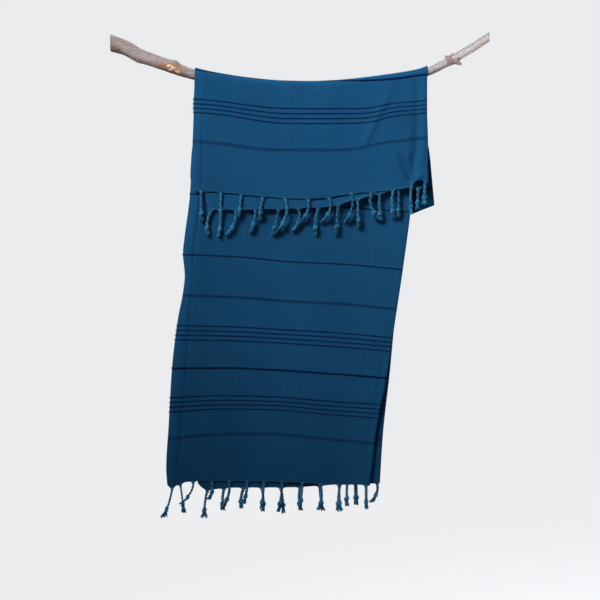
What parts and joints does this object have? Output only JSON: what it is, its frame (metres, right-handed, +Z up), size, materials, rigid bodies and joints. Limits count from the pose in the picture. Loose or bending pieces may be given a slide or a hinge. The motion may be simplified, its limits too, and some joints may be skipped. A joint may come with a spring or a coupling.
{
  "type": "hammam towel on a branch",
  "caption": "Flat-woven towel folded in half lengthwise and hung over a bare branch, with a short front flap, a long drop and knotted fringes at both ends.",
  "frame": {"origin": "on the branch's axis at mid-span", "axes": "+X along the branch to the viewer's right, -Y towards the viewer, +Z up; the towel hangs down -Z"},
  "size_m": [0.798, 0.0628, 1.0207],
  "materials": {
    "towel": "matt plain-woven cotton, with thin darker stripes near each end",
    "fringe": "matt twisted cotton cord",
    "bark": "dry grey-brown bark with bare scars"
  },
  "bodies": {
    "root": {"towel_cloth": "towel", "fringe_front_end": "fringe", "fringe_long_end": "fringe", "branch": "bark"}
  },
  "joints": []
}
